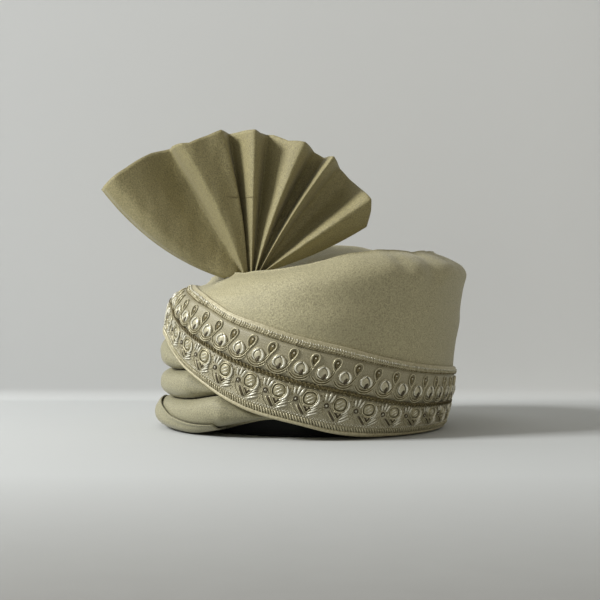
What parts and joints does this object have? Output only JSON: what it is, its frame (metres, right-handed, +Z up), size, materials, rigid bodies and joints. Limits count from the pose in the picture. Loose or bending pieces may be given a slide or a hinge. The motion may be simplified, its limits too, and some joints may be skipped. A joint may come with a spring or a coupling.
{
  "type": "tied turban pagri",
  "caption": "Ready-tied turban with a wound cloth crown, padded side rolls, slanted embroidered lace border and an upright pleated fan; open hollow for the head.",
  "frame": {"origin": "middle of the opening for the head, at the height of the table that the turban stands on", "axes": "+Z up, -Y towards the front with the lace and the fan, +X to the right of a viewer in front"},
  "size_m": [0.2821, 0.2634, 0.2281],
  "materials": {
    "crown_cloth": "satin-matt woven silk blend, pale gold beige",
    "roll_cloth": "satin-matt woven silk blend, pale gold beige",
    "fan_cloth": "pressed satin-matt woven silk blend, pale gold beige",
    "lace_cloth": "satin ribbon ground with pale and dark embroidery",
    "pale_braid": "pale metallic thread braid",
    "dark_braid": "dark antique-gold twisted cord",
    "lining_cloth": "matt black cloth"
  },
  "bodies": {
    "root": {"crown": "crown_cloth", "head_lining": "lining_cloth", "lower_roll": "roll_cloth", "middle_roll": "roll_cloth", "upper_roll": "roll_cloth", "base_fold": "roll_cloth", "lower_lace": "lace_cloth", "upper_lace": "lace_cloth", "top_tape": "pale_braid", "middle_braid": "dark_braid", "edge_piping": "pale_braid", "pleated_fan": "fan_cloth"}
  },
  "joints": []
}
